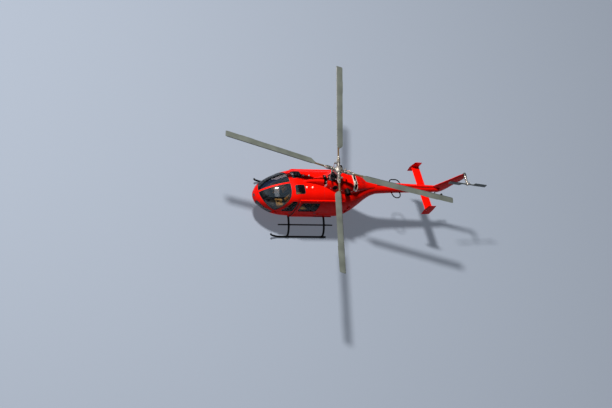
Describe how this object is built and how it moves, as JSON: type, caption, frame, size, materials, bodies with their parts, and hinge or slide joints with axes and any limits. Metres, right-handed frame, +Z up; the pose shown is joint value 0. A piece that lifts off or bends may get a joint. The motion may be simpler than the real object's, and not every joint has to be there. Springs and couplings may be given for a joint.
{
  "type": "light helicopter",
  "caption": "Light helicopter with a rigid overhead rotor, rounded glazed nose, side doors and rear loading doors, slender tail boom with a raised tail rotor, and tubular skids.",
  "frame": {"origin": "centre of the bounding box in X and Y, on the ground under the skids in Z", "axes": "+X towards the nose, +Y to the helicopter's left, +Z up"},
  "size_m": [11.6508, 9.4832, 3.1495],
  "materials": {
    "red_paint": "gloss red enamel",
    "glazing": "clear acrylic, slightly tinted",
    "black_paint": "satin black enamel",
    "blade_grey": "matt grey erosion-resistant paint",
    "hub_metal": "machined, satin",
    "dark_metal": "dark grey, semi-matt",
    "exhaust_metal": "heat-tinted stainless",
    "upholstery": "tan, matt",
    "interior_trim": "dark, matt",
    "light_alloy": "cast, satin"
  },
  "bodies": {
    "fuselage": {"cabin_shell": "red_paint", "gearbox_fairing": "red_paint", "engine_cowling": "red_paint", "tail_boom": "red_paint", "stabilizer": "red_paint", "tail_fin": "red_paint", "endplate_left": "red_paint", "endplate_right": "red_paint", "windscreen_left": "glazing", "windscreen_right": "glazing", "chin_window_left": "glazing", "chin_window_right": "glazing", "roof_window_left": "glazing", "roof_window_right": "glazing", "tail_bumper": "black_paint", "cross_tube_front": "black_paint", "cross_tube_rear": "black_paint", "skid_left": "black_paint", "skid_right": "black_paint", "step_left": "black_paint", "step_right": "black_paint", "tail_gearbox": "dark_metal", "loop_antenna_left": "dark_metal", "loop_antenna_right": "dark_metal", "exhaust_outer_left": "exhaust_metal", "exhaust_outer_right": "exhaust_metal", "exhaust_inner_left": "exhaust_metal", "exhaust_inner_right": "exhaust_metal", "front_seat_left": "upholstery", "front_seat_right": "upholstery", "rear_bench": "upholstery", "cabin_floor": "interior_trim", "instrument_panel": "interior_trim", "engine_left": "light_alloy", "engine_right": "light_alloy", "main_gearbox": "light_alloy"},
    "main_rotor": {"rotor_hub": "hub_metal", "swashplate": "dark_metal", "rotor_blade_front": "blade_grey", "rotor_blade_left": "blade_grey", "rotor_blade_rear": "blade_grey", "rotor_blade_right": "blade_grey"},
    "tail_rotor": {"tail_rotor_hub": "hub_metal", "tail_rotor_blade_forward": "blade_grey", "tail_rotor_blade_aft": "blade_grey"},
    "front_door_left": {"front_door_left": "red_paint", "front_door_glass_left": "glazing"},
    "front_door_right": {"front_door_right": "red_paint", "front_door_glass_right": "glazing"},
    "sliding_door_left": {"sliding_door_left": "red_paint", "sliding_door_glass_left": "glazing"},
    "sliding_door_right": {"sliding_door_right": "red_paint", "sliding_door_glass_right": "glazing"},
    "clamshell_door_left": {"clamshell_door_left": "red_paint"},
    "clamshell_door_right": {"clamshell_door_right": "red_paint"}
  },
  "joints": [
    {"name": "main_rotor_spin", "type": "hinge", "parent": "fuselage", "child": "main_rotor", "pos_m": [1.08385, 0, 2.92], "axis": [0, 0, 1], "continuous": true},
    {"name": "tail_rotor_spin", "type": "hinge", "parent": "fuselage", "child": "tail_rotor", "pos_m": [-4.86615, 0.43, 2.79], "axis": [0, 1, 0], "continuous": true},
    {"name": "front_door_left_hinge", "type": "hinge", "parent": "fuselage", "child": "front_door_left", "pos_m": [3.18785, 0.712, 0.94], "axis": [0, 0, -1], "range_deg": [0, 75]},
    {"name": "sliding_door_left_slide", "type": "slide", "parent": "fuselage", "child": "sliding_door_left", "axis": [-1, 0, 0], "range_m": [0, 0.85]},
    {"name": "clamshell_door_left_hinge", "type": "hinge", "parent": "fuselage", "child": "clamshell_door_left", "pos_m": [0.07185, 0.786, 1.31], "axis": [0, 0, -1], "range_deg": [0, 95]},
    {"name": "front_door_right_hinge", "type": "hinge", "parent": "fuselage", "child": "front_door_right", "pos_m": [3.18785, -0.712, 0.94], "axis": [0, 0, 1], "range_deg": [0, 75]},
    {"name": "sliding_door_right_slide", "type": "slide", "parent": "fuselage", "child": "sliding_door_right", "axis": [-1, 0, 0], "range_m": [0, 0.85]},
    {"name": "clamshell_door_right_hinge", "type": "hinge", "parent": "fuselage", "child": "clamshell_door_right", "pos_m": [0.07185, -0.786, 1.31], "axis": [0, 0, 1], "range_deg": [0, 95]}
  ]
}
